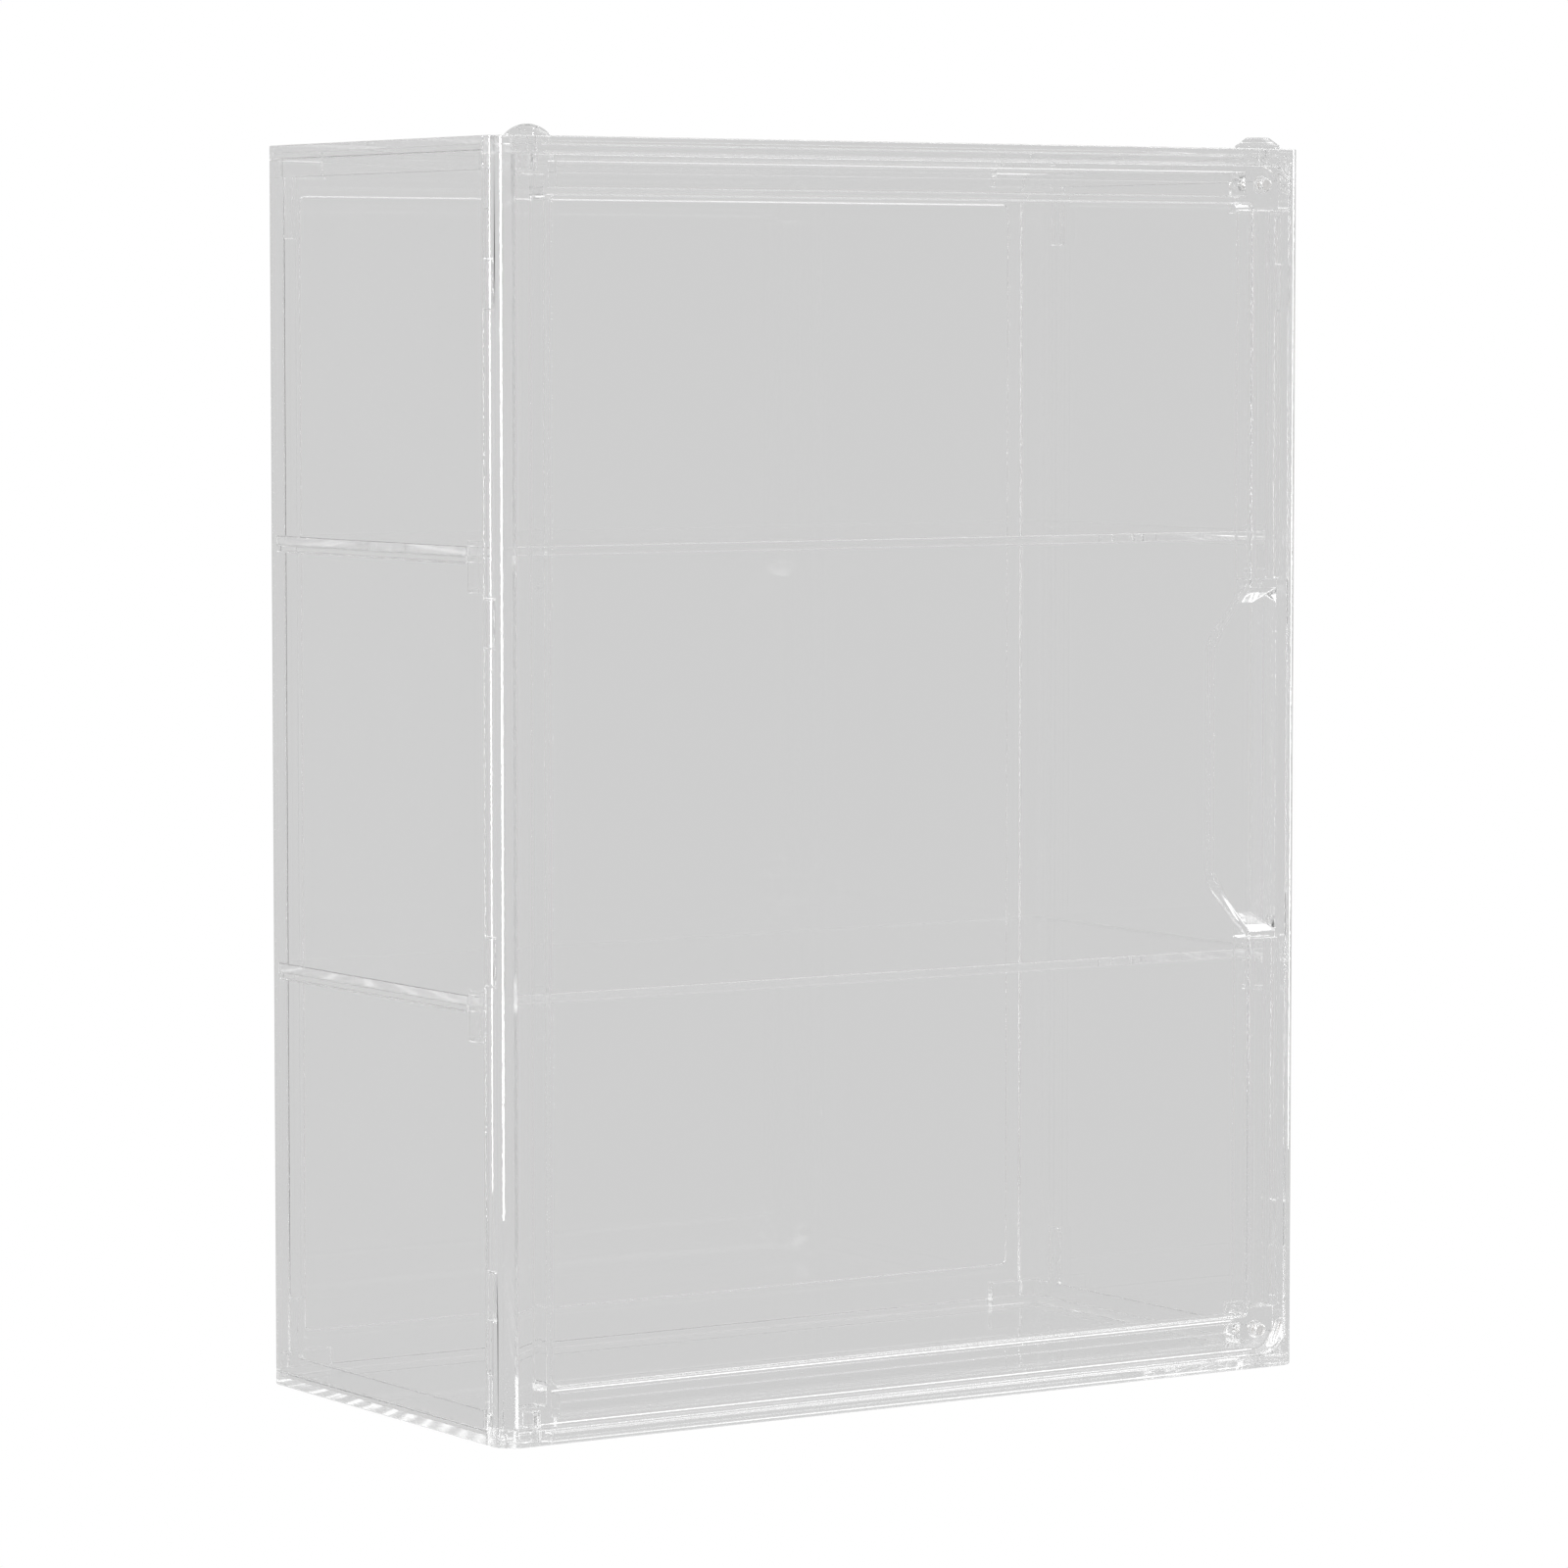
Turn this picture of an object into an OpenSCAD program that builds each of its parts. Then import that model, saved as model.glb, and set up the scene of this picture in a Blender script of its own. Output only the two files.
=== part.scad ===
// Clear three-tier shoe display case: a snap-together cabinet with two shelves and a hinged front door.
// Frame: origin at the middle of the footprint on the resting surface, front towards -Y, +Z up.

/* [Case] */
// Width of the case over the side panels
case_w = 304; // [240:1:360]
// Depth of the case from the front frame to the back panel
case_d = 152; // [130:1:260]
// Height of the case without the pivot caps
case_h = 400; // [360:5:460]
// Radius of the upright outer corners
corner_r = 7.5; // [6:0.5:9]
// Thickness of the moulded panels
wall = 2.4; // [2:0.1:3]
// Width of the front frame's face at the sides
frame_side = 6; // [5.5:0.25:7]
// Height of the front frame's face at the top and bottom
frame_rail = 5; // [4.5:0.25:6]
// Depth of the front frame
frame_d = 10; // [10:0.5:12]

/* [Shelves] */
// Height of the lower shelf's top
lower_shelf_top = 137.5; // [120:0.5:150]
// Height of the upper shelf's top
upper_shelf_top = 275.3; // [250:0.1:300]
// Thickness of a shelf
shelf_t = 3; // [2.5:0.25:3.5]

/* [Door] */
// Gap between the door and the frame
door_gap = 0.5; // [0.4:0.1:0.8]
// Depth of the door's rim
door_d = 10.5; // [10:0.1:10.6]
// Thickness of the door's rim walls and front face
rim_t = 2.2; // [1.8:0.1:2.4]
// Thickness of the clear pane
pane_t = 2; // [1.6:0.1:2.2]
// Step from the rim's face back to the pane
pane_recess = 1; // [0.5:0.1:1.2]
// Width of the hinge stile
hinge_stile = 12; // [10:0.5:12]
// Width of the stile that holds the pull
pull_stile = 14.5; // [13:0.5:16]
// Height of the door's top and bottom rails
door_rail = 12.3; // [12:0.1:14]
// Radius of the door's corners
door_r = 8; // [6:0.5:9]

/* [Pull] */
// Height of the pull's left edge
pull_short = 77; // [60:1:90]
// Height of the pull where it meets the stile
pull_tall = 113; // [100:1:120]
// How far the pull reaches into the pane from the stile
pull_reach = 15; // [12:0.5:18]
// Height of the pull's middle
pull_z = 201; // [190:1:215]
// Width of the stile beside the pull
pull_edge = 4; // [3.5:0.25:5]
// How far the pull's sides lean in towards its floor
pull_lean = 5.5; // [4:0.5:6]

/* [Hinge and catch] */
// Radius of the hinge pins
pin_r = 2; // [1.75:0.05:2.1]
// Radial clearance between a pin and the door
pin_clearance = 0.05; // [0.02:0.01:0.1]
// Radius of the caps over the pivots
cap_r = 7.25; // [6.5:0.25:7.4]
// Height of the caps
cap_h = 3.6; // [3:0.1:4]
// Radius of the flat top of the blank cap
cap_top_r = 3.6; // [3:0.1:5]
// Radius of the catch magnets
magnet_r = 2; // [1.5:0.1:2.5]
// Thickness of a catch magnet
magnet_t = 2; // [1.5:0.1:2]

/* [Hidden] */
$fn = 64;

clear_colour = [0.86, 0.88, 0.9, 0.4];
steel_colour = [0.72, 0.73, 0.75];
cut = 1;                                   // how far a cutting shape runs past a face
half_w = case_w / 2;
half_d = case_d / 2;
front_y = -half_d;
frame_back_y = front_y + frame_d;
fit = 0.1;                                 // gap between two fixed mouldings
skirt_h = 4.5;                             // height of the top and base panels' outer edge
inner_x = half_w - wall;
lip_t = 2;                                 // thickness of the lips inside the side panels
lip_h = 8;                                 // reach of those lips from the panel's plate
leg_h = 30;                                // reach of the legs from the panel's outer face

open_x = half_w - frame_side;              // half the width of the frame's opening
door_x = open_x - door_gap;
door_low = frame_rail + door_gap;
door_high = case_h - door_low;
door_back_y = front_y + door_d;
stop_gap = 0.3;                            // gap between the closed door and its stop
stop_y = door_back_y + stop_gap;
stop_t = 2.5;
stop_w = 6;                                // how far the stop laps the door
stop_back_y = stop_y + stop_t;

pivot_x = -half_w + 14;
pivot_y = front_y + corner_r;
pivot_sweep = corner_r + 1.5;              // room that the hinge edge needs as it turns
ear_r = corner_r;                          // round ears of the frame that hold the pins and caps
pin_low_z = 1.2;
hinge_block = 6.2;                         // solid end of the hinge stile round a pin
pin_reach = 5;                             // how far a pin goes into the door
pin_top_z = case_h + 1.6;

magnet_x = door_x - 5.5;
magnet_low_z = door_low + door_rail / 2;
magnet_high_z = case_h - magnet_low_z;
pad_w = 16;                                // corner pads that hold the frame's magnets
boss_wall = 0.8;                           // wall round a magnet on its pad
pad_t = 4;

tab_h = 15;
tab_reach = 5.2;
tab_t = 1.2;
tab_heights = [46.5, 149.2, 252.3, 355];
end_tab_h = 12.5;
end_tab_reach = 3;
end_tab_z = 16;

shelf_front_y = pivot_y + corner_r + 0.4;  // just behind the turning hinge edge
field_step = 1;                            // depth of the back panel's embossed field
field_side = 12;
field_end = 13.6;
shelf_back_y = half_d - wall - field_step - 0.3;
clip_d = 7;
clip_reach = 4.2;
clip_back_t = 1.4;
clip_up = 1.8;                             // clip above the shelf
clip_down = 11.4;                          // clip below the shelf
rib_t = 1.7;
ledge_h = 2;
ledge_reach = 3;

// A rectangle from its low corner to its high corner
module box2(low, high) {
    translate(low) square(high - low);
}

module box3(low, high) {
    translate(low) cube(high - low);
}

// A rectangle centred on the axis, with round corners
module round_rect(low, high, r) {
    box2([low.x + r, low.y], [high.x - r, high.y]);
    box2([low.x, low.y + r], [high.x, high.y - r]);
    for (x = [low.x + r, high.x - r], y = [low.y + r, high.y - r])
        translate([x, y]) circle(r);
}

// Stands a front-view outline (X, Z) up between two depths
module elevation(y_low, y_high) {
    translate([0, y_high, 0]) rotate([90, 0, 0]) linear_extrude(y_high - y_low) children();
}

// Plan of the whole case, pulled in by a distance
module case_plan(inset = 0) {
    round_rect([-half_w + inset, -half_d + inset], [half_w - inset, half_d - inset],
               corner_r - inset);
}

module case_solid(z_low, z_high, inset = 0) {
    translate([0, 0, z_low]) linear_extrude(z_high - z_low) case_plan(inset);
}

// The strips of the side panels' edge that hook into the front frame, grown by a clearance
module side_tabs(grow) {
    intersection() {
        case_solid(-cut, case_h + cut);
        union() {
            for (z = tab_heights)
                box3([-half_w - cut, frame_back_y - tab_reach - grow, z - tab_h / 2 - grow],
                     [-half_w + tab_t + grow, frame_back_y + cut, z + tab_h / 2 + grow]);
            for (z = [end_tab_z, case_h - end_tab_z])
                box3([-half_w - cut, frame_back_y - end_tab_reach - grow, z - end_tab_h / 2 - grow],
                     [-half_w + tab_t + grow, frame_back_y + cut, z + end_tab_h / 2 + grow]);
        }
    }
}

// A front-view rectangle with its hinge corners square and its other two round
module hung_rect(low, high, r) {
    round_rect(low, high, r);
    box2(low, [low.x + 2 * r, high.y]);
}

module frame_opening() {
    hung_rect([-open_x, frame_rail], [open_x, case_h - frame_rail], door_r + door_gap);
}

// Stop behind the door, left out where the hinge edge turns
module stop_ring() {
    difference() {
        box2([-inner_x + fit, wall + fit], [inner_x - fit, case_h - wall - fit]);
        box2([-open_x, frame_rail + stop_w], [open_x - stop_w, case_h - frame_rail - stop_w]);
        box2([-open_x, frame_rail], [pivot_x + pivot_sweep, case_h - frame_rail]);
    }
    for (z = [frame_rail, case_h - frame_rail - pad_w])
        box2([open_x - pad_w, z], [open_x, z + pad_w]);
}

// The discs of the frame's rails round each pivot, top and bottom, or the notches for them
module pivot_ears(r) {
    for (x = [pivot_x, -pivot_x], z = [0, case_h - frame_rail])
        translate([x, pivot_y, z]) cylinder(r = r, h = frame_rail);
}

module front_frame() {
    color(clear_colour) difference() {
        union() {
            difference() {
                intersection() {
                    case_solid(0, case_h);
                    box3([-half_w, front_y, 0], [half_w, frame_back_y, case_h]);
                }
                elevation(front_y - cut, frame_back_y + cut) frame_opening();
            }
            elevation(stop_y, stop_back_y) stop_ring();
            elevation(frame_back_y - cut, stop_y + cut) difference() {
                box2([-inner_x + fit, wall + fit], [inner_x - fit, case_h - wall - fit]);
                frame_opening();
            }
            for (z = [magnet_low_z, magnet_high_z])
                elevation(stop_y, stop_y + pad_t) translate([magnet_x, z]) circle(magnet_r + boss_wall);
            pivot_ears(ear_r);
        }
        side_tabs(fit);
        mirror([1, 0, 0]) side_tabs(fit);
        for (x = [pivot_x, -pivot_x])
            translate([x, pivot_y, case_h - frame_rail - cut])
                cylinder(r = pin_r + 0.02, h = frame_rail + 2 * cut);
        translate([pivot_x, pivot_y, pin_low_z]) cylinder(r = pin_r + 0.02, h = frame_rail);
        for (z = [magnet_low_z, magnet_high_z])
            elevation(stop_y + pad_t - magnet_t - 0.2, stop_y + pad_t + cut)
                translate([magnet_x, z]) circle(magnet_r + 0.05);
    }
}

// Base tray: a flat plate with an outer edge and lips that stand inside the side and back panels
module tray() {
    lip_x = inner_x - fit;
    lip_y = half_d - wall - fit;
    difference() {
        case_solid(0, skirt_h);
        case_solid(wall, skirt_h + cut, wall + fit);
        box3([-half_w - cut, -half_d - cut, -cut], [half_w + cut, frame_back_y, skirt_h + cut]);
        translate([0, 0, -cut]) pivot_ears(ear_r + fit);
    }
    difference() {
        intersection() {
            case_solid(wall - 0.5, wall + lip_h, wall + fit);
            box3([-lip_x, stop_back_y + 0.4, 0], [lip_x, lip_y, wall + lip_h]);
        }
        box3([-lip_x + lip_t, -half_d, 0], [lip_x - lip_t, lip_y - lip_t - field_step, case_h]);
        box3([-lip_x + 20, 0, wall], [lip_x - 20, half_d, case_h]);
    }
    // Legs that lock into the side panels near the rear corners
    for (side = [-1, 1])
        translate([side * (lip_x - lip_t / 2), half_d - 16, (leg_h + wall) / 2])
            cube([lip_t, 6, leg_h - wall], center = true);
}

module base_panel() {
    color(clear_colour) tray();
}

module top_panel() {
    color(clear_colour) translate([0, 0, case_h]) mirror([0, 0, 1]) tray();
}

// Side panel on the left: a flat wall, the round rear corner, hooks and shelf ledges
module side_panel() {
    color(clear_colour) {
        difference() {
            case_solid(skirt_h + fit / 2, case_h - skirt_h - fit / 2);
            case_solid(0, case_h, wall);
            box3([-half_w - cut, -half_d - cut, -cut], [half_w + cut, frame_back_y + fit / 2, case_h]);
            box3([-half_w + corner_r + 1, -half_d - cut, -cut], [half_w + cut, half_d + cut, case_h]);
        }
        side_tabs(0);
        for (top = [lower_shelf_top, upper_shelf_top])
            box3([-inner_x - 0.5, shelf_front_y + clip_d + 1, top - shelf_t - fit - ledge_h],
                 [-inner_x + ledge_reach, half_d - corner_r, top - shelf_t - fit]);
    }
}

module left_side_panel() {
    side_panel();
}

module right_side_panel() {
    mirror([1, 0, 0]) side_panel();
}

// Back panel with a stepped field, and a ledge under each shelf
module back_panel() {
    edge_x = half_w - corner_r - 1 - fit;
    field_x = half_w - field_side;
    color(clear_colour) difference() {
        union() {
            box3([-edge_x, half_d - wall, skirt_h + fit / 2],
                 [edge_x, half_d, case_h - skirt_h - fit / 2]);
            elevation(half_d - wall - field_step, half_d - wall + cut / 2)
                round_rect([-field_x, field_end], [field_x, case_h - field_end], 3);
        }
        elevation(half_d - field_step, half_d + cut)
            round_rect([-field_x + wall, field_end + wall],
                       [field_x - wall, case_h - field_end - wall], 2);
    }
}

module shelf(top) {
    color(clear_colour) translate([0, 0, top - shelf_t]) linear_extrude(shelf_t) difference() {
        intersection() {
            box2([-inner_x + 0.2, shelf_front_y], [inner_x - 0.2, shelf_back_y]);
            case_plan(wall + 0.2);
        }
        for (side = [-1, 1])
            translate([side * inner_x, shelf_front_y])
                square([2 * clip_back_t + 0.6, 2 * clip_d + 0.6], center = true);
    }
}

module lower_shelf() {
    shelf(lower_shelf_top);
}

module upper_shelf() {
    shelf(upper_shelf_top);
}

// Three-ribbed clip that grips a shelf's front corner against the left side panel
module shelf_clip(top) {
    low_x = -inner_x + 0.1;
    color(clear_colour) {
        box3([low_x, shelf_front_y, top - shelf_t - clip_down + 0.1],
             [low_x + clip_back_t, shelf_front_y + clip_d, top + clip_up]);
        for (z = [top + clip_up - rib_t, top - shelf_t - 0.1 - rib_t, top - shelf_t - clip_down + 0.1])
            box3([low_x, shelf_front_y, z], [low_x + clip_reach, shelf_front_y + clip_d, z + rib_t]);
    }
}

module lower_left_shelf_clip() {
    shelf_clip(lower_shelf_top);
}

module lower_right_shelf_clip() {
    mirror([1, 0, 0]) shelf_clip(lower_shelf_top);
}

module upper_left_shelf_clip() {
    shelf_clip(upper_shelf_top);
}

module upper_right_shelf_clip() {
    mirror([1, 0, 0]) shelf_clip(upper_shelf_top);
}

// Plan of the door's hinge edge: round about the pivot, straight from there on
module door_plan(inset) {
    intersection() {
        box2([-door_x - cut, front_y + inset], [door_x, door_back_y + cut]);
        union() {
            translate([pivot_x, pivot_y]) circle(corner_r - inset);
            box2([pivot_x, front_y - cut], [door_x, door_back_y + cut]);
        }
    }
}

module door_window(grow = 0, r = 2) {
    round_rect([-door_x + hinge_stile - grow, door_low + door_rail - grow],
               [door_x - pull_stile + grow, door_high - door_rail + grow], r + grow);
}

// Outline of the pull: a trapezium whose long side lies in the stile
module pull_outline(inset) {
    reach = pull_reach - inset;
    base_x = door_x - pull_stile;
    right_x = door_x - pull_edge - inset * 0.8;
    short = pull_short / 2 - inset * 0.7;
    tall = pull_tall / 2 - inset;
    translate([0, pull_z])
        polygon([[base_x - reach, -short], [base_x, -tall], [right_x, -tall],
                 [right_x, tall], [base_x, tall], [base_x - reach, short]]);
}

// The pull's hollow, or its outer shell when grown by the wall's thickness
module pull_cup(y_low, y_high, grow) {
    skin = 0.01;
    hull() {
        elevation(y_low, y_low + skin) pull_outline(-grow);
        elevation(y_high - skin, y_high) pull_outline(pull_lean - grow);
    }
}

module door_shell() {
    hollow_low = door_low + door_rail + rim_t;
    hollow_high = door_high - door_rail - rim_t;
    face_y = front_y + rim_t;
    difference() {
        intersection() {
            elevation(front_y, door_back_y)
                hung_rect([-door_x, door_low], [door_x, door_high], door_r);
            translate([0, 0, door_low]) linear_extrude(door_high - door_low) door_plan(0);
        }
        elevation(front_y + pane_recess + pane_t, door_back_y + cut) door_window(0, 2);
        elevation(front_y - cut, front_y + pane_recess) door_window(0, 2);
        // Hollow behind the hinge stile's face, between the blocks that hold the pins
        intersection() {
            translate([0, 0, door_low + hinge_block])
                linear_extrude(door_high - door_low - 2 * hinge_block) door_plan(rim_t);
            box3([-door_x, face_y, door_low], [-door_x + hinge_stile - rim_t, half_d, door_high]);
        }
        // Hollows behind the pull stile's face, below and above the pull
        for (z = [[hollow_low, pull_z - pull_tall / 2 - rim_t],
                  [pull_z + pull_tall / 2 + rim_t, hollow_high]])
            box3([door_x - pull_stile + rim_t, face_y, z[0]],
                 [door_x - rim_t, door_back_y + cut, z[1]]);
        // Hollows behind the rails' faces
        for (z = [door_low + rim_t, door_high - door_rail + rim_t])
            box3([-door_x + hinge_stile + rim_t, face_y, z],
                 [door_x - pull_stile - rim_t, door_back_y + cut, z + door_rail - 2 * rim_t]);
    }
}

module door() {
    color(clear_colour) difference() {
        union() {
            door_shell();
            pull_cup(front_y + pane_recess, door_back_y, rim_t);
        }
        pull_cup(front_y - 0.5, door_back_y - rim_t, 0);
        for (z = [door_low - cut, door_high - pin_reach])
            translate([pivot_x, pivot_y, z])
                cylinder(r = pin_r + pin_clearance, h = pin_reach + cut);
        for (z = [magnet_low_z, magnet_high_z])
            elevation(door_back_y - magnet_t - 0.2, door_back_y + cut)
                translate([magnet_x, z]) circle(magnet_r + 0.05);
    }
}

module lower_hinge_pin() {
    color(clear_colour) translate([pivot_x, pivot_y, pin_low_z])
        cylinder(r = pin_r, h = door_low + pin_reach - 0.5 - pin_low_z);
}

module upper_hinge_pin() {
    low = door_high - pin_reach + 0.5;
    color(clear_colour) translate([pivot_x, pivot_y, low]) cylinder(r = pin_r, h = pin_top_z - low);
}

// Domed cap over the upper pin
module pivot_cap() {
    dome_r = (cap_r * cap_r + cap_h * cap_h) / (2 * cap_h);
    color(clear_colour) translate([pivot_x, pivot_y, case_h + 0.02]) difference() {
        rotate_extrude() intersection() {
            translate([0, cap_h - dome_r]) circle(dome_r, $fn = 180);
            square([cap_r, cap_h]);
        }
        translate([0, 0, -cut]) cylinder(r = pin_r + 0.02, h = cut + 1.7);
    }
}

// Cap with a flat top and sloping shoulders that closes the spare pivot hole on the other side
module blank_cap() {
    rim_h = 0.8;
    color(clear_colour) translate([-pivot_x, pivot_y, case_h + 0.02]) {
        rotate_extrude() polygon([[0, 0], [cap_r, 0], [cap_r, rim_h], [cap_top_r, cap_h], [0, cap_h]]);
        translate([0, 0, -frame_rail + 0.5]) cylinder(r = pin_r, h = frame_rail);
    }
}

module magnet(y_low, z) {
    color(steel_colour) elevation(y_low, y_low + magnet_t) translate([magnet_x, z])
        circle(magnet_r);
}

module lower_door_magnet() {
    magnet(door_back_y - magnet_t - 0.1, magnet_low_z);
}

module upper_door_magnet() {
    magnet(door_back_y - magnet_t - 0.1, magnet_high_z);
}

module lower_frame_magnet() {
    magnet(stop_y + pad_t - magnet_t - 0.1, magnet_low_z);
}

module upper_frame_magnet() {
    magnet(stop_y + pad_t - magnet_t - 0.1, magnet_high_z);
}

front_frame();
base_panel();
top_panel();
left_side_panel();
right_side_panel();
back_panel();
lower_shelf();
upper_shelf();
lower_left_shelf_clip();
lower_right_shelf_clip();
upper_left_shelf_clip();
upper_right_shelf_clip();
door();
lower_hinge_pin();
upper_hinge_pin();
pivot_cap();
blank_cap();
lower_door_magnet();
upper_door_magnet();
lower_frame_magnet();
upper_frame_magnet();
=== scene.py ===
"""Clear three-tier shoe display case: its looks, piece by piece in the order it is snapped together."""
import math

import bmesh
import bpy
import numpy
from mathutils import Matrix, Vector


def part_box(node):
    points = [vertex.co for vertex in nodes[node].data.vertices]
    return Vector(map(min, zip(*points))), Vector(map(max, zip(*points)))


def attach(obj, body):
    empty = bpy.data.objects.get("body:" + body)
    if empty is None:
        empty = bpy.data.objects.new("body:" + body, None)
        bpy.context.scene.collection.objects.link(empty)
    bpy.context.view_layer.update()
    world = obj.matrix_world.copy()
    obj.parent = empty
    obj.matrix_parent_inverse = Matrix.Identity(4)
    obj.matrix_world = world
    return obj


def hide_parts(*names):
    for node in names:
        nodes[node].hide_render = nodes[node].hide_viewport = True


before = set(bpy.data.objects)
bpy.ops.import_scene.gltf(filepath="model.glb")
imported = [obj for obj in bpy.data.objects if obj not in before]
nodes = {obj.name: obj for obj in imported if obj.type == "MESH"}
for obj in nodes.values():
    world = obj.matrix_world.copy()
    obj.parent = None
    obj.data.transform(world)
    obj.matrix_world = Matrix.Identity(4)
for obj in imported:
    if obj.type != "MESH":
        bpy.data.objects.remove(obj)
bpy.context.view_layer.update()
MM = 0.001


# ---- The studio: a pale sweep, soft light and one camera -------------------------------------
# The case stands on a pale floor in front of a pale backdrop, which the camera sees as paper
# white and the plastic as a duller grey. A band of ceiling light glows everywhere but behind
# the case, and three upright soft boxes stand close to its sides.
case_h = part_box("front_frame")[1].z
view_turn = math.radians(-32.7)
view_tilt = math.radians(4.08)
view_distance = 2.093
aim = Vector((-0.001, 0.0007, 0.484 * case_h))
back = Vector((math.sin(view_turn) * math.cos(view_tilt),
               -math.cos(view_turn) * math.cos(view_tilt), math.sin(view_tilt)))
lens = bpy.data.cameras.new("camera")
lens.lens = 147.5
lens.sensor_width = 36
lens.clip_end = 50
camera = bpy.data.objects.new("camera", lens)
camera.location = aim + back * view_distance
camera.rotation_euler = (-back).to_track_quat("-Z", "Y").to_euler()
bpy.context.scene.collection.objects.link(camera)
bpy.context.scene.camera = camera
bpy.context.scene.view_settings.view_transform = "Standard"

# Light runs a long way inside a clear wall before it leaves, so every kind of bounce is allowed.
cycles = bpy.context.scene.cycles
cycles.max_bounces = 96
cycles.transmission_bounces = 96
cycles.glossy_bounces = 96
cycles.transparent_max_bounces = 32


class Wire:
    """An output of a shader node. Sums on wires add Math nodes, and add() makes any other node."""

    def __init__(self, tree, socket=None):
        self.tree = tree
        self.socket = socket

    def add(self, kind, settings=None, values=(), out=0, **sockets):
        made = self.tree.nodes.new(kind)
        for name, value in (settings or {}).items():
            setattr(made, name, value)
        given = list(enumerate(values))
        given += [(name.replace("_", " "), value) for name, value in sockets.items()]
        for key, value in given:
            if isinstance(value, Wire):
                self.tree.links.new(value.socket, made.inputs[key])
            else:
                made.inputs[key].default_value = value
        return Wire(self.tree, made.outputs[out] if made.outputs else None)

    def math(self, operation, *others):
        return self.add("ShaderNodeMath", {"operation": operation}, (self,) + others)

    def ramp(self, low, high, start=0.0, end=1.0):
        return self.add("ShaderNodeMapRange", {"interpolation_type": "SMOOTHSTEP"},
                        (self, low, high, start, end))

    def __add__(self, other):
        return self.math("ADD", other)

    def __radd__(self, other):
        return self.math("ADD", other)

    def __sub__(self, other):
        return self.math("SUBTRACT", other)

    def __rsub__(self, other):
        return self.math("SUBTRACT", other).math("MULTIPLY", -1.0)

    def __mul__(self, other):
        return self.math("MULTIPLY", other)

    def __rmul__(self, other):
        return self.math("MULTIPLY", other)


def blank_material(name):
    """A material with an empty node tree, and the wire that its nodes are added through."""
    material = bpy.data.materials.new(name)
    material.use_nodes = True
    material.node_tree.nodes.clear()
    return material, Wire(material.node_tree)


paper_white = 1.0
paper_through = 0.632
ceiling_through = 1.0
ceiling_mirrored = 3.0

world = bpy.data.worlds.new("studio")
world.use_nodes = True
world.node_tree.nodes.clear()
bpy.context.scene.world = world
make = Wire(world.node_tree)
direct = make.add("ShaderNodeLightPath", out="Is Camera Ray")
toward = make.add("ShaderNodeTexCoord", out="Generated")
depth = make.add("ShaderNodeSeparateXYZ", {}, (toward,), out="Y")
height = make.add("ShaderNodeSeparateXYZ", {}, (toward,), out="Z")
strip = (height.ramp(0.22, 0.4) - height.ramp(0.75, 0.9)) * (1.0 - depth.ramp(0.3, 0.55))
mirrored = make.add("ShaderNodeLightPath", out="Is Reflection Ray")
room = paper_through + strip * (ceiling_through + mirrored * ceiling_mirrored)
light = room + direct * (paper_white - room)
glow = make.add("ShaderNodeBackground", {}, ((1, 1, 1, 1), light))
make.add("ShaderNodeOutputWorld", Surface=glow)

paper, make = blank_material("paper_sweep")
direct = make.add("ShaderNodeLightPath", out="Is Camera Ray")
seen = make.add("ShaderNodeEmission", {}, ((1, 1, 1, 1), paper_white))
through = make.add("ShaderNodeEmission", {}, ((1, 1, 1, 1), paper_through))
make.add("ShaderNodeOutputMaterial",
         Surface=make.add("ShaderNodeMixShader", {}, (direct, through, seen)))

bm = bmesh.new()
bmesh.ops.create_grid(bm, x_segments=1, y_segments=1, size=12)
floor_mesh = bpy.data.meshes.new("floor")
bm.to_mesh(floor_mesh)
bm.free()
floor_mesh.materials.append(paper)
floor = bpy.data.objects.new("floor", floor_mesh)
bpy.context.scene.collection.objects.link(floor)


def soft_box(name, azimuth, elevation, distance, size, glow):
    """A rectangular studio lamp that faces the middle of the case and doesn't show through it."""
    lamp = bpy.data.lights.new(name, "AREA")
    lamp.shape = "RECTANGLE"
    lamp.size, lamp.size_y = size
    lamp.energy = glow * math.pi * lamp.size * lamp.size_y
    turn = math.radians(azimuth)
    rise = math.radians(elevation)
    away = Vector((math.sin(turn) * math.cos(rise), -math.cos(turn) * math.cos(rise),
                   math.sin(rise)))
    holder = bpy.data.objects.new(name, lamp)
    holder.location = aim + away * distance
    holder.rotation_euler = away.to_track_quat("Z", "Y").to_euler()
    holder.visible_transmission = False
    bpy.context.scene.collection.objects.link(holder)


soft_box("left_box", azimuth=-67, elevation=4, distance=0.65, size=(0.09, 0.8), glow=16)
soft_box("rear_left_box", azimuth=-118, elevation=4, distance=0.65, size=(0.09, 0.8), glow=14)
soft_box("right_box", azimuth=84, elevation=4, distance=0.7, size=(0.08, 0.8), glow=9)


# ---- Front frame -----------------------------------------------------------------------------
# Injection-moulded clear polystyrene, like every panel: a deep frame with round ears at the
# pivots, a stop behind the door and pockets that the side panels' hooks snap into.
hair_gap = 0.04 * MM
edge_r = 0.4 * MM
same_plane = 0.9999
sharp_edge = 0.6


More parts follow.
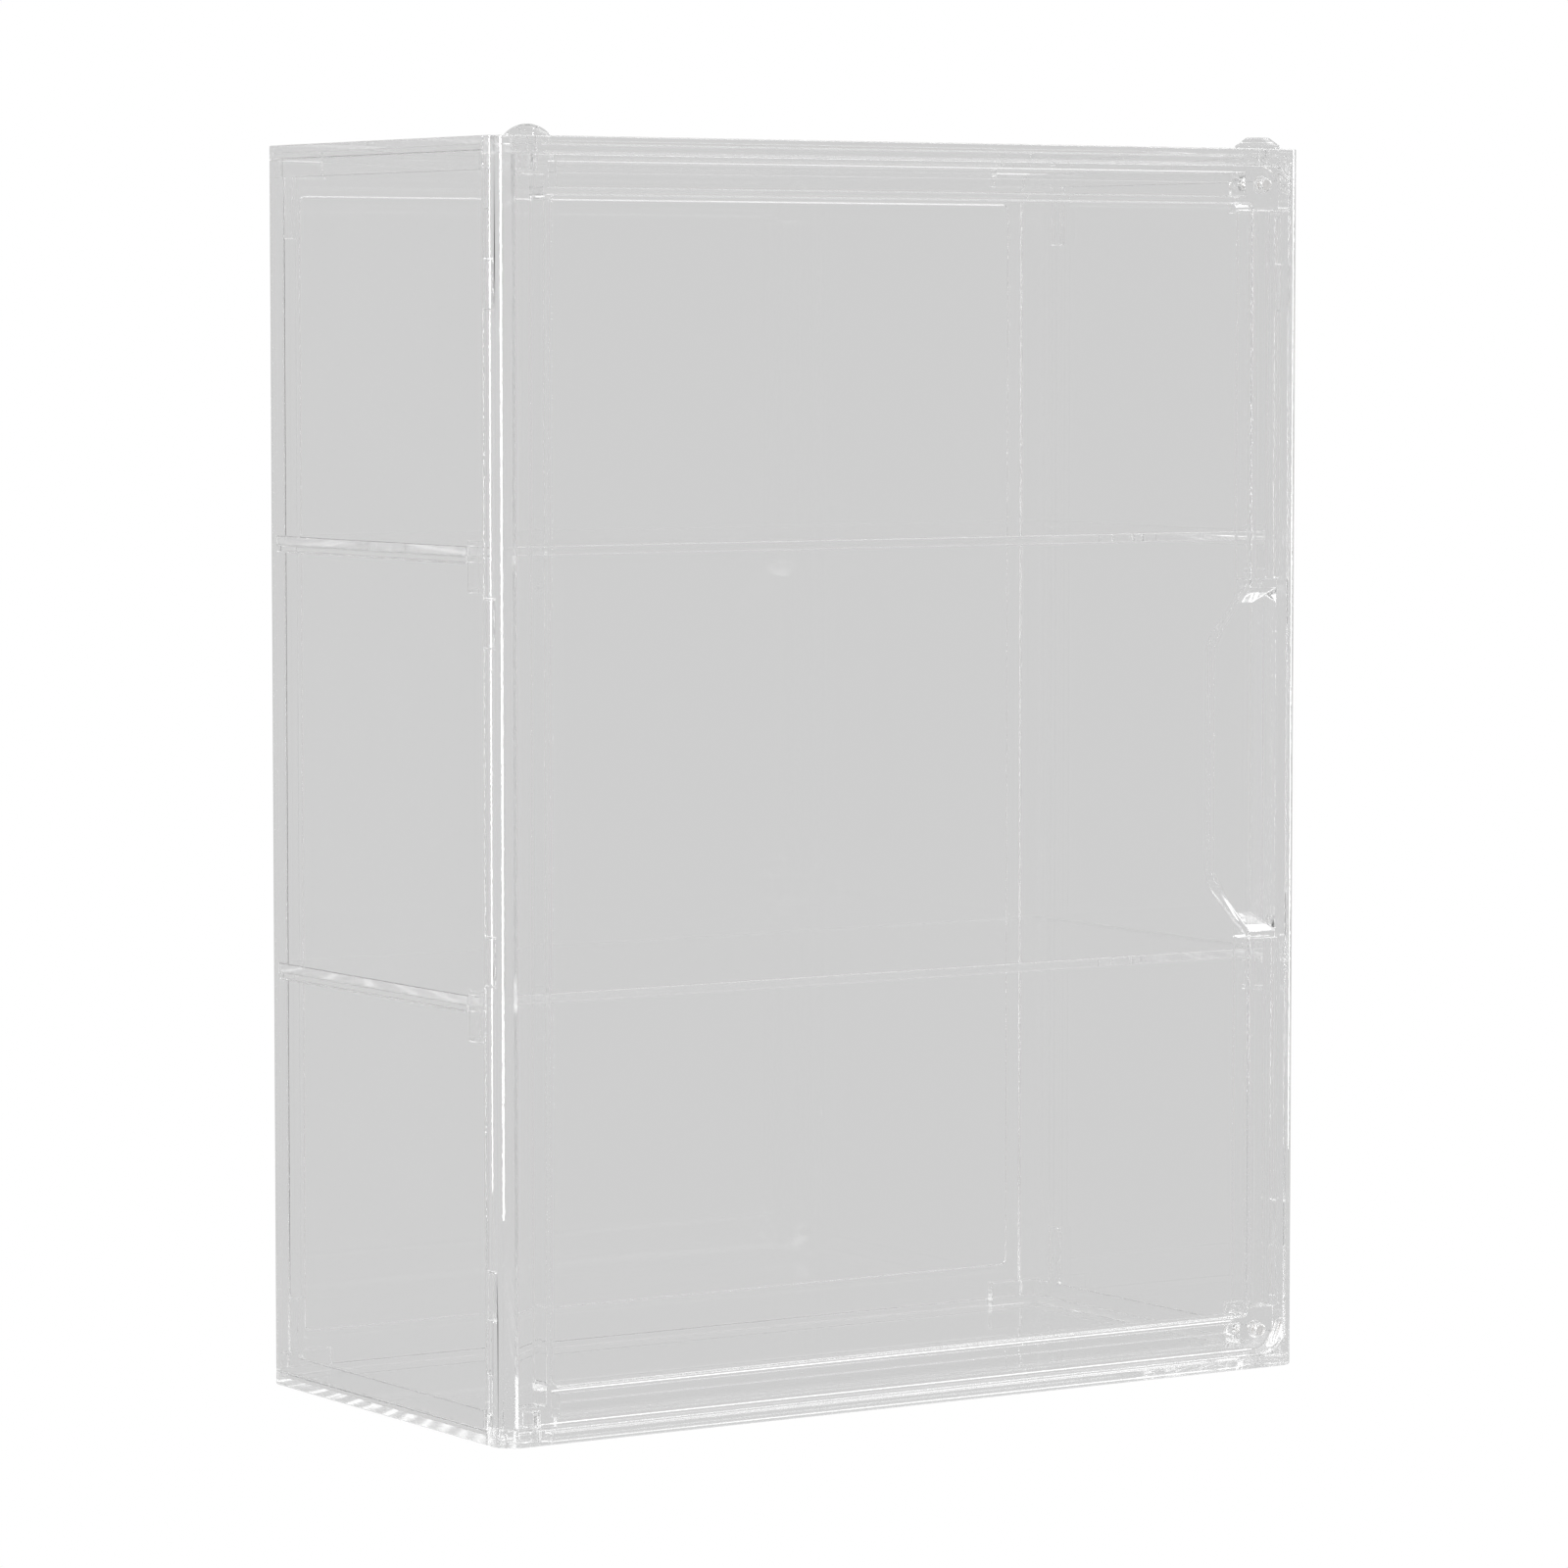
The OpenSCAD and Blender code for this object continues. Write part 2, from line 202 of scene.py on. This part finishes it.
def clear_plastic(name, wave, bend=1.5):
    """Water-clear moulded plastic with the faint flow waves and the haze of a polished mould.

    Lamps shine straight through it, so the case throws no hard shadows on itself.
    """
    material, make = blank_material(name)
    place = make.add("ShaderNodeTexCoord", out="Object")
    flow = make.add("ShaderNodeTexNoise", {"noise_dimensions": "3D"}, Vector=place, Scale=14.0,
                    Detail=1.5, Roughness=0.4)
    bump = make.add("ShaderNodeBump", Strength=wave, Distance=0.0006, Height=flow)
    haze = make.add("ShaderNodeTexNoise", {"noise_dimensions": "3D"}, Vector=place,
                    Scale=45.0, Detail=3.0)
    plastic = make.add("ShaderNodeBsdfPrincipled", Base_Color=(0.99, 0.99, 0.99, 1),
                       Roughness=0.01 + 0.02 * haze, IOR=bend, Transmission_Weight=1.0,
                       Normal=bump)
    lamp_ray = make.add("ShaderNodeLightPath", out="Is Shadow Ray")
    through = make.add("ShaderNodeBsdfTransparent")
    make.add("ShaderNodeOutputMaterial",
             Surface=make.add("ShaderNodeMixShader", {}, (lamp_ray, plastic, through)))
    return material


def draw_in(bm, gap):
    """Moves every face of a solid inwards by the gap, so that snapped pieces stand a hair apart."""
    moves = []
    for vert in bm.verts:
        facing = []
        for face in vert.link_faces:
            if all(face.normal.dot(other) < same_plane for other in facing):
                facing.append(face.normal.copy())
        step = numpy.linalg.lstsq(numpy.array(facing), numpy.full(len(facing), -gap), rcond=0.05)
        moves.append(Vector(step[0]))
    for vert, move in zip(bm.verts, moves):
        vert.co += move


def finish_piece(bm, name, body, slot, material, *replaced):
    """Turns a modelled shape into a shaded piece that stands for CAD nodes on one body."""
    bmesh.ops.recalc_face_normals(bm, faces=bm.faces)
    mesh = bpy.data.meshes.new(name)
    bm.to_mesh(mesh)
    bm.free()
    mesh.shade_smooth()
    mesh.set_sharp_from_angle(angle=math.radians(35))
    mesh.materials.append(material)
    piece = bpy.data.objects.new(name, mesh)
    bpy.context.scene.collection.objects.link(piece)
    even = piece.modifiers.new("even_faces", "WEIGHTED_NORMAL")
    even.keep_sharp = True
    even.weight = 100
    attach(piece, body)
    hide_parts(*replaced)


def moulding(node, body, slot, material, radius=edge_r, segments=3):
    """A moulded piece: the node's shape with its sharp edges rounded as a mould rounds them."""
    bm = bmesh.new()
    bm.from_mesh(nodes[node].data)
    bmesh.ops.remove_doubles(bm, verts=bm.verts, dist=0.002 * MM)
    bmesh.ops.dissolve_limit(bm, angle_limit=math.radians(0.5), verts=bm.verts, edges=bm.edges)
    draw_in(bm, hair_gap)
    bm.normal_update()
    sharp = [e for e in bm.edges if e.calc_face_angle(0) > sharp_edge
             and min(near.calc_length() for v in e.verts for near in v.link_edges) > 0.5 * radius]
    bmesh.ops.bevel(bm, geom=sharp, offset=radius, offset_type="OFFSET", affect="EDGES",
                    segments=segments, profile=0.5, material=-1, clamp_overlap=False)
    finish_piece(bm, node + "_moulding", body, slot, material, node)


case_plastic = clear_plastic("clear_plastic", 0.05)
moulding("front_frame", "case", "clear_plastic", case_plastic)


# ---- Base tray and top tray ------------------------------------------------------------------
# Clear mouldings of one shape, one upside down: a flat plate with an outer edge, lips that
# stand inside the walls, and legs that lock into the side panels.
moulding("base_panel", "case", "clear_plastic", case_plastic)
moulding("top_panel", "case", "clear_plastic", case_plastic)


# ---- Side panels -----------------------------------------------------------------------------
# Clear walls with the round rear corners moulded on. Their hooks snap into the front frame and
# their ledges carry the shelves.
moulding("left_side_panel", "case", "clear_plastic", case_plastic)
moulding("right_side_panel", "case", "clear_plastic", case_plastic)


# ---- Back panel ------------------------------------------------------------------------------
# A clear wall between the side panels, with a field embossed inwards across all of it.
moulding("back_panel", "case", "clear_plastic", case_plastic)


# ---- Shelves ---------------------------------------------------------------------------------
# Two flat clear plates, cut away at the front corners for the clips that hold them.
moulding("lower_shelf", "case", "clear_plastic", case_plastic)
moulding("upper_shelf", "case", "clear_plastic", case_plastic)


# ---- Shelf clips -----------------------------------------------------------------------------
# Small clear blocks with three ribs, one at each front corner of a shelf.
clip_edge_r = 0.25 * MM
clip_plastic = clear_plastic("clip_plastic", 0.05, 1.3)
for name in ["lower_left_shelf_clip", "lower_right_shelf_clip", "upper_left_shelf_clip",
             "upper_right_shelf_clip"]:
    moulding(name, "case", "clip_plastic", clip_plastic, clip_edge_r, 2)


# ---- Door ------------------------------------------------------------------------------------
# One clear moulding: a pane in a hollow rim, with a slanted pull cup that dents the pane and
# the stile beside it. It turns on the two pins.
moulding("door", "door", "door_plastic", case_plastic)


# ---- Hinge pins ------------------------------------------------------------------------------
# Clear round pins with rounded ends. Each is pushed through the frame's ear into the door.
pin_end_r = 0.5 * MM
rim_edge = 1.0
small_plastic = clear_plastic("small_part_plastic", 0.05, 1.15)

for name in ["lower_hinge_pin", "upper_hinge_pin"]:
    low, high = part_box(name)
    middle = (low + high) / 2
    bm = bmesh.new()
    bmesh.ops.create_cone(bm, cap_ends=True, segments=48, radius1=(high.x - low.x) / 2 - hair_gap,
                          radius2=(high.x - low.x) / 2 - hair_gap,
                          depth=high.z - low.z - 2 * hair_gap)
    bmesh.ops.translate(bm, verts=bm.verts, vec=middle)
    ends = [e for e in bm.edges if e.calc_face_angle(0) > rim_edge]
    bmesh.ops.bevel(bm, geom=ends, offset=pin_end_r, offset_type="OFFSET", affect="EDGES",
                    segments=3, profile=0.5, material=-1)
    finish_piece(bm, name + "_rod", "case", "clip_plastic", small_plastic, name)


# ---- Caps over the pivots --------------------------------------------------------------------
# Turned clear caps: a low dome over the upper pin, and a flat-topped one with sloping shoulders
# and a short stem that closes the spare pivot hole.
def turned(profile, centre, steps=72):
    """A solid of revolution about an upright axis, from radii and heights that start on it."""
    bm = bmesh.new()
    ring = [bm.verts.new((r, 0, z)) for r, z in profile]
    line = [bm.edges.new(pair) for pair in zip(ring, ring[1:])]
    bmesh.ops.spin(bm, geom=ring + line, cent=(0, 0, 0), axis=(0, 0, 1), dvec=(0, 0, 0),
                   angle=2 * math.pi, steps=steps, use_merge=True, use_duplicate=False)
    bmesh.ops.remove_doubles(bm, verts=bm.verts, dist=0.001 * MM)
    bmesh.ops.translate(bm, verts=bm.verts, vec=centre)
    return bm


def arc(centre_r, centre_z, radius, first, last, count):
    """Points of a profile along an arc, between two angles measured from outwards to upwards."""
    angles = [math.radians(first + (last - first) * i / count) for i in range(count + 1)]
    return [(centre_r + radius * math.cos(a), centre_z + radius * math.sin(a)) for a in angles]


low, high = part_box("pivot_cap")
cap_r = (high.x - low.x) / 2 - hair_gap
cap_h = high.z - low.z - 2 * hair_gap
dome_r = (cap_r ** 2 + cap_h ** 2) / (2 * cap_h)
rim_angle = math.degrees(math.asin((dome_r - cap_h) / dome_r))
dome = arc(0, cap_h - dome_r, dome_r, rim_angle + 3, 90, 24)
dome[-1] = (0, cap_h)
bore_r = (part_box("upper_hinge_pin")[1].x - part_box("upper_hinge_pin")[0].x) / 2 + hair_gap
bore_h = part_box("upper_hinge_pin")[1].z - low.z + hair_gap
profile = [(0, bore_h), (bore_r, bore_h), (bore_r, 0), (cap_r - edge_r, 0)] + dome
bm = turned(profile, Vector(((low.x + high.x) / 2, (low.y + high.y) / 2, low.z + hair_gap)))
finish_piece(bm, "pivot_cap_dome", "case", "clip_plastic", small_plastic, "pivot_cap")

low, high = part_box("blank_cap")
plate_z = case_h + hair_gap / 2
top_h = high.z - plate_z - 2 * hair_gap
stem_h = plate_z - low.z
stem_r = bore_r - 2 * hair_gap
shoulder_r = 0.8 * MM
flat_r = 3.6 * MM
profile = [(0, -stem_h), (stem_r - 0.4 * MM, -stem_h), (stem_r, -stem_h + 0.4 * MM), (stem_r, 0)]
profile += arc(cap_r - edge_r, edge_r, edge_r, -90, 0, 4)
profile += arc(cap_r - edge_r, shoulder_r, edge_r, 0, 45, 3)
profile += arc(flat_r, top_h - edge_r, edge_r, 45, 90, 3) + [(0, top_h)]
bm = turned(profile, Vector(((low.x + high.x) / 2, (low.y + high.y) / 2, plate_z + hair_gap)))
finish_piece(bm, "blank_cap_plug", "case", "clip_plastic", small_plastic, "blank_cap")


# ---- Catch magnets ---------------------------------------------------------------------------
# Nickel-plated discs, pressed into the door's outer corners and the pads behind them.
nickel, make = blank_material("nickel_plate")
place = make.add("ShaderNodeTexCoord", out="Object")
plating = make.add("ShaderNodeTexNoise", {"noise_dimensions": "3D"}, Vector=place, Scale=900.0,
                   Detail=2.0)
make.add("ShaderNodeOutputMaterial",
         Surface=make.add("ShaderNodeBsdfPrincipled", Base_Color=(0.9, 0.89, 0.88, 1),
                          Roughness=0.12 + 0.16 * plating, Metallic=1.0))
magnet_edge_r = 0.3 * MM

for body, side in [("door", "door"), ("case", "frame")]:
    for level in ["lower", "upper"]:
        name = level + "_" + side + "_magnet"
        low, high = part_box(name)
        bm = bmesh.new()
        bmesh.ops.create_cone(bm, cap_ends=True, segments=48,
                              radius1=(high.x - low.x) / 2 - hair_gap,
                              radius2=(high.x - low.x) / 2 - hair_gap, depth=high.y - low.y)
        bmesh.ops.rotate(bm, verts=bm.verts, cent=(0, 0, 0),
                         matrix=Vector((0, 0, 1)).rotation_difference((0, 1, 0)).to_matrix())
        bmesh.ops.translate(bm, verts=bm.verts, vec=(low + high) / 2)
        rims = [e for e in bm.edges if e.calc_face_angle(0) > rim_edge]
        bmesh.ops.bevel(bm, geom=rims, offset=magnet_edge_r, offset_type="OFFSET",
                        affect="EDGES", segments=3, profile=0.5, material=-1)
        finish_piece(bm, name + "_disc", body, "magnet_plating", nickel, name)
